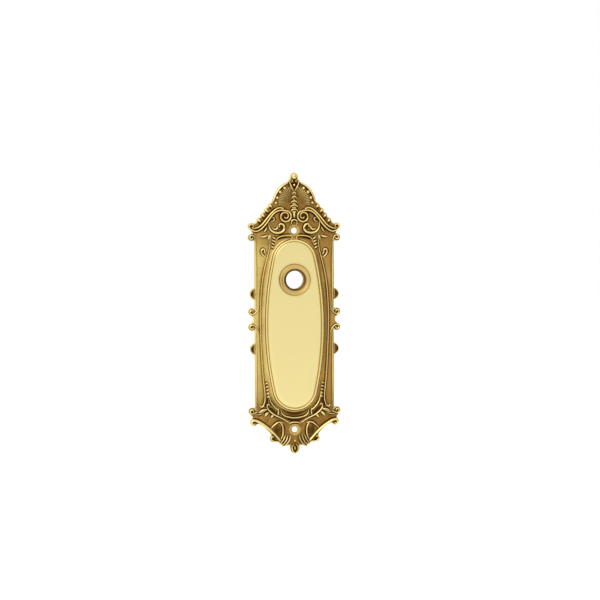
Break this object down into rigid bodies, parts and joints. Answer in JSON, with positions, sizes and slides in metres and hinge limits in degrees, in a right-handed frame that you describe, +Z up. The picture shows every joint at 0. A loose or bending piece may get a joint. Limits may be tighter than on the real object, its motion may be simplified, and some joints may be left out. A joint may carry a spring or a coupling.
{
  "type": "door backplate",
  "caption": "Tall ornamental brass door backplate with a shell crest, scrolls, a framed oval panel, a bossed spindle hole and countersunk screw holes.",
  "frame": {"origin": "spindle hole's axis at the plane of the door", "axes": "+Z up the door, +Y into the door, +X to the right for a person facing the plate"},
  "size_m": [0.0718, 0.0084, 0.2176],
  "materials": {
    "brass": "polished cast brass with brown antique patina in the recesses"
  },
  "bodies": {
    "root": {"backplate": "brass"}
  },
  "joints": []
}
